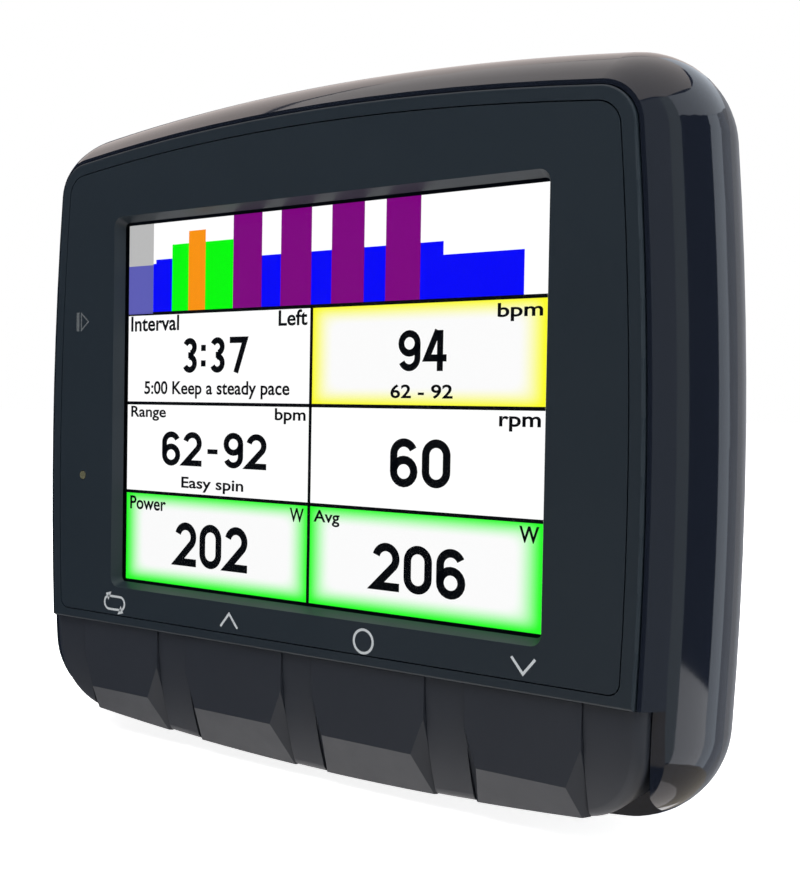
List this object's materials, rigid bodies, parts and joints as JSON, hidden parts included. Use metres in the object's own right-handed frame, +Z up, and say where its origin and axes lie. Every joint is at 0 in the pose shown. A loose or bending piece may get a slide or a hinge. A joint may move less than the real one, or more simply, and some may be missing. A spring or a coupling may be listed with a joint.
{
  "type": "cycling computer",
  "caption": "Handlebar cycling computer with a landscape colour display, wedge buttons below it, a glossy flared rear housing and a quarter-turn mount on the back.",
  "frame": {"origin": "centre of the quarter-turn mount's flat end face, on the body's centre lines", "axes": "+Z up the screen, screen faces -Y, +Y out of the back along the mount, +X to the viewer's right"},
  "size_m": [0.0703, 0.021, 0.0606],
  "materials": {
    "gloss_shell": "gloss",
    "slate_plastic": "satin",
    "button_rubber": "satin",
    "seal_rubber": "matte",
    "window_glass": "gloss",
    "display_glass": "gloss",
    "diffuser": "matte",
    "sheet_steel": "satin",
    "circuit_board": "satin",
    "chip_black": "matte",
    "ceramic": "matte",
    "polyimide": "satin",
    "chassis_plastic": "matte",
    "cell_foil": "satin",
    "foam": "matte",
    "vent_film": "matte",
    "mount_plastic": "matte",
    "screw_steel": "satin",
    "clear_plastic": "gloss",
    "socket_steel": "satin"
  },
  "bodies": {
    "case": {"rear_housing": "gloss_shell", "housing_seal": "seal_rubber", "front_bezel": "slate_plastic", "faceplate": "slate_plastic", "display_window": "window_glass", "lcd_panel": "display_glass", "backlight": "diffuser", "display_tray": "sheet_steel", "light_pipe": "clear_plastic", "button_bar": "button_rubber", "keypad_membrane": "seal_rubber", "dome_switches": "sheet_steel", "keypad_board": "circuit_board", "keypad_flex": "polyimide", "keypad_connector": "chip_black", "chassis": "chassis_plastic", "main_board": "circuit_board", "processor": "chip_black", "shield_can": "sheet_steel", "satellite_antenna": "ceramic", "buzzer": "chip_black", "pressure_sensor": "sheet_steel", "light_sensor": "chip_black", "side_switch": "chip_black", "flex_connector": "chip_black", "display_flex": "polyimide", "battery": "cell_foil", "battery_pad": "foam", "vent_membrane": "vent_film", "usb_socket": "socket_steel", "usb_board": "circuit_board", "mount_puck": "mount_plastic", "housing_screws": "screw_steel", "mount_screws": "screw_steel"},
    "lap_pad": {"lap_button": "button_rubber"},
    "up_pad": {"up_button": "button_rubber"},
    "select_pad": {"select_button": "button_rubber"},
    "down_pad": {"down_button": "button_rubber"},
    "start_pad": {"start_button": "button_rubber"},
    "port_flap": {"usb_cover": "seal_rubber"}
  },
  "joints": [
    {"name": "lap_press", "type": "slide", "parent": "case", "child": "lap_pad", "axis": [0, 1, 0], "range_m": [0, 0.0005], "stiffness_N_per_m": 1500, "springref_m": -0.0005},
    {"name": "up_press", "type": "slide", "parent": "case", "child": "up_pad", "axis": [0, 1, 0], "range_m": [0, 0.0005], "stiffness_N_per_m": 1500, "springref_m": -0.0005},
    {"name": "select_press", "type": "slide", "parent": "case", "child": "select_pad", "axis": [0, 1, 0], "range_m": [0, 0.0005], "stiffness_N_per_m": 1500, "springref_m": -0.0005},
    {"name": "down_press", "type": "slide", "parent": "case", "child": "down_pad", "axis": [0, 1, 0], "range_m": [0, 0.0005], "stiffness_N_per_m": 1500, "springref_m": -0.0005},
    {"name": "start_press", "type": "slide", "parent": "case", "child": "start_pad", "axis": [1, 0, 0], "range_m": [0, 0.0005], "stiffness_N_per_m": 1500, "springref_m": -0.0005},
    {"name": "port_flap_hinge", "type": "hinge", "parent": "case", "child": "port_flap", "pos_m": [0, -0.0034, -0.02145], "axis": [-1, 0, 0], "range_deg": [0, 90]}
  ]
}
